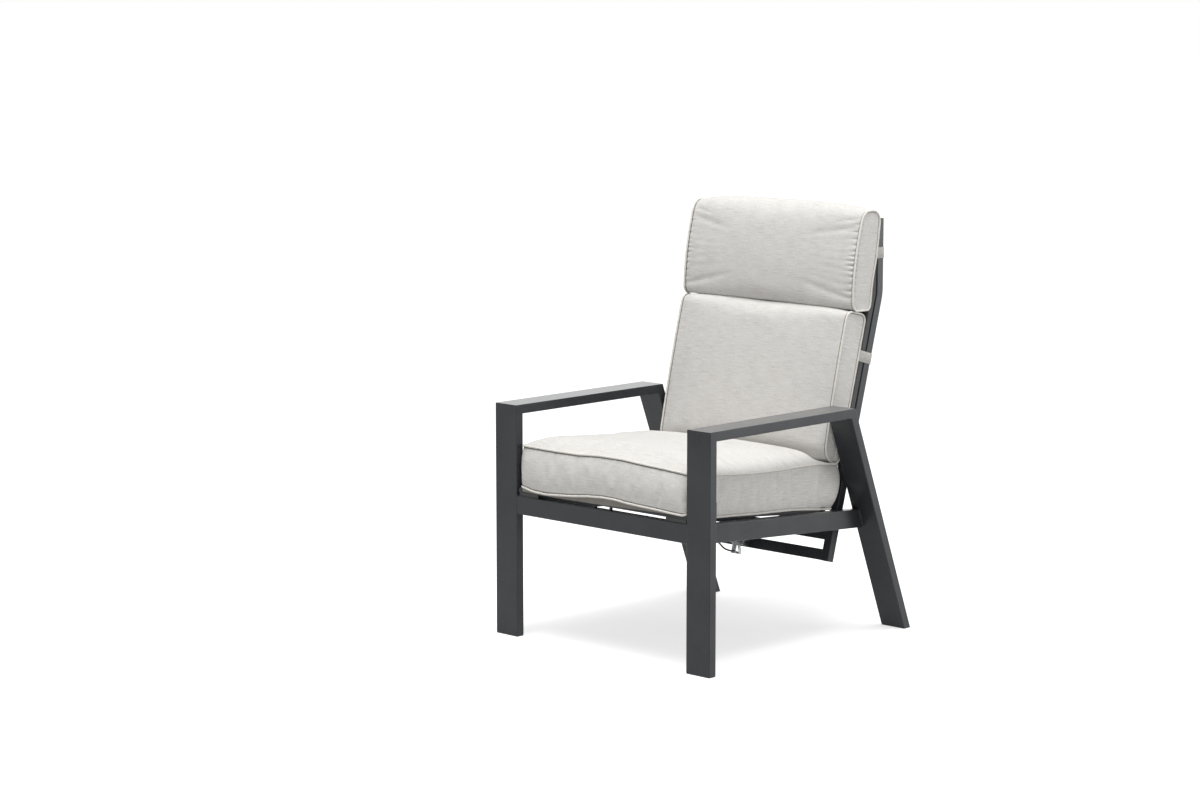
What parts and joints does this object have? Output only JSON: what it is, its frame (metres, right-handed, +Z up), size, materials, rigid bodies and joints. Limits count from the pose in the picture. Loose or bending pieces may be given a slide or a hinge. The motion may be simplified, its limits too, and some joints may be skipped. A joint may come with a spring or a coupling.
{
  "type": "reclining garden armchair",
  "caption": "garden armchair with wide flat-tube side frames, a padded seat, and a cushioned back that reclines on a lockable gas spring",
  "frame": {"origin": "on the floor, midway across the chair and midway between the front legs' front faces and the rear feet's back corners", "axes": "+X to the sitter's left, -Y the front, +Z up"},
  "size_m": [0.772, 0.824, 1.144],
  "materials": {
    "frame_powder_coat": "anthracite powder coat, satin",
    "black_plastic": "matte",
    "natural_nylon": "matte",
    "sling_mesh": "woven outdoor mesh",
    "cushion_fabric": "melange outdoor weave",
    "strap_webbing": "woven elastic",
    "zinc_steel": "zinc plated",
    "black_steel": "semi gloss",
    "chrome_rod": "polished",
    "cable_jacket": "smooth"
  },
  "bodies": {
    "frame": {"front_leg_left": "frame_powder_coat", "front_leg_right": "frame_powder_coat", "rear_leg_left": "frame_powder_coat", "rear_leg_right": "frame_powder_coat", "armrest_left": "frame_powder_coat", "armrest_right": "frame_powder_coat", "side_rail_left": "frame_powder_coat", "side_rail_right": "frame_powder_coat", "front_rail": "frame_powder_coat", "spring_cross_tube": "frame_powder_coat", "rear_cross_tube": "frame_powder_coat", "deck_front_bar": "frame_powder_coat", "deck_rear_bar": "frame_powder_coat", "deck_side_bar_left": "frame_powder_coat", "deck_side_bar_right": "frame_powder_coat", "front_foot_glides": "black_plastic", "rear_foot_glides": "black_plastic", "deck_spacers": "black_plastic", "hand_lever_housing": "black_plastic", "pivot_washers": "black_plastic", "seat_sling": "sling_mesh", "seat_cushion": "cushion_fabric", "pivot_bolts": "zinc_steel", "pivot_inserts": "zinc_steel", "spring_front_bracket": "zinc_steel", "spring_front_pin": "zinc_steel", "hand_lever_pin": "zinc_steel", "cable_clips": "zinc_steel", "release_cable": "cable_jacket"},
    "backrest": {"back_side_tube_left": "frame_powder_coat", "back_side_tube_right": "frame_powder_coat", "back_top_tube": "frame_powder_coat", "back_lower_tube": "frame_powder_coat", "upper_crossbar": "frame_powder_coat", "lower_crossbar": "frame_powder_coat", "keder_rail_left": "frame_powder_coat", "keder_rail_right": "frame_powder_coat", "back_tube_plugs": "black_plastic", "back_sling": "sling_mesh", "back_sling_hems": "sling_mesh", "pivot_bushes": "natural_nylon", "spring_rear_bracket": "zinc_steel", "spring_rear_pin": "zinc_steel", "back_cushion": "cushion_fabric", "head_cushion": "cushion_fabric", "back_strap": "strap_webbing", "head_strap": "strap_webbing"},
    "gas_cylinder": {"gas_cylinder": "black_steel", "cylinder_gland": "black_steel", "cylinder_eye": "zinc_steel", "cylinder_clips": "zinc_steel", "release_cable_rear": "cable_jacket"},
    "gas_rod": {"piston_rod": "chrome_rod", "release_head": "zinc_steel", "release_lever_pin": "zinc_steel", "cable_stop": "zinc_steel"},
    "release_lever": {"release_lever": "zinc_steel"},
    "release_wire": {"release_wire": "zinc_steel"},
    "hand_lever": {"hand_lever": "black_plastic"}
  },
  "joints": [
    {"name": "backrest_recline", "type": "hinge", "parent": "frame", "child": "backrest", "pos_m": [0, 0.2045, 0.319], "axis": [-1, 0, 0], "range_deg": [0, 30]},
    {"name": "spring_tilt", "type": "hinge", "parent": "frame", "child": "gas_cylinder", "pos_m": [0, -0.2205, 0.332], "axis": [1, 0, 0], "range_deg": [0, 4.4]},
    {"name": "rod_slide", "type": "slide", "parent": "gas_cylinder", "child": "gas_rod", "axis": [0, 0.962, -0.2729], "range_m": [-0.0487, 0], "deforming": ["release_cable_rear"]},
    {"name": "hand_lever", "type": "hinge", "parent": "frame", "child": "hand_lever", "pos_m": [0.35, -0.3665, 0.355], "axis": [-1, 0, 0], "range_deg": [0, 25], "stiffness_Nm_per_rad": 0.5, "springref_deg": -5.73},
    {"name": "release_lever", "type": "hinge", "parent": "gas_rod", "child": "release_lever", "pos_m": [0, 0.12779, 0.22905], "axis": [-1, 0, 0], "range_deg": [0, 9]},
    {"name": "release_wire", "type": "slide", "parent": "gas_rod", "child": "release_wire", "axis": [0, -0.962, 0.2729], "range_m": [0, 0.0049]}
  ],
  "couplings": [
    {"joint": "spring_tilt", "follows": "backrest_recline", "ratio": 0.14},
    {"joint": "rod_slide", "follows": "backrest_recline", "m_per_rad": -0.0925},
    {"joint": "release_lever", "follows": "hand_lever", "ratio": 0.352},
    {"joint": "release_wire", "follows": "hand_lever", "m_per_rad": 0.011}
  ]
}
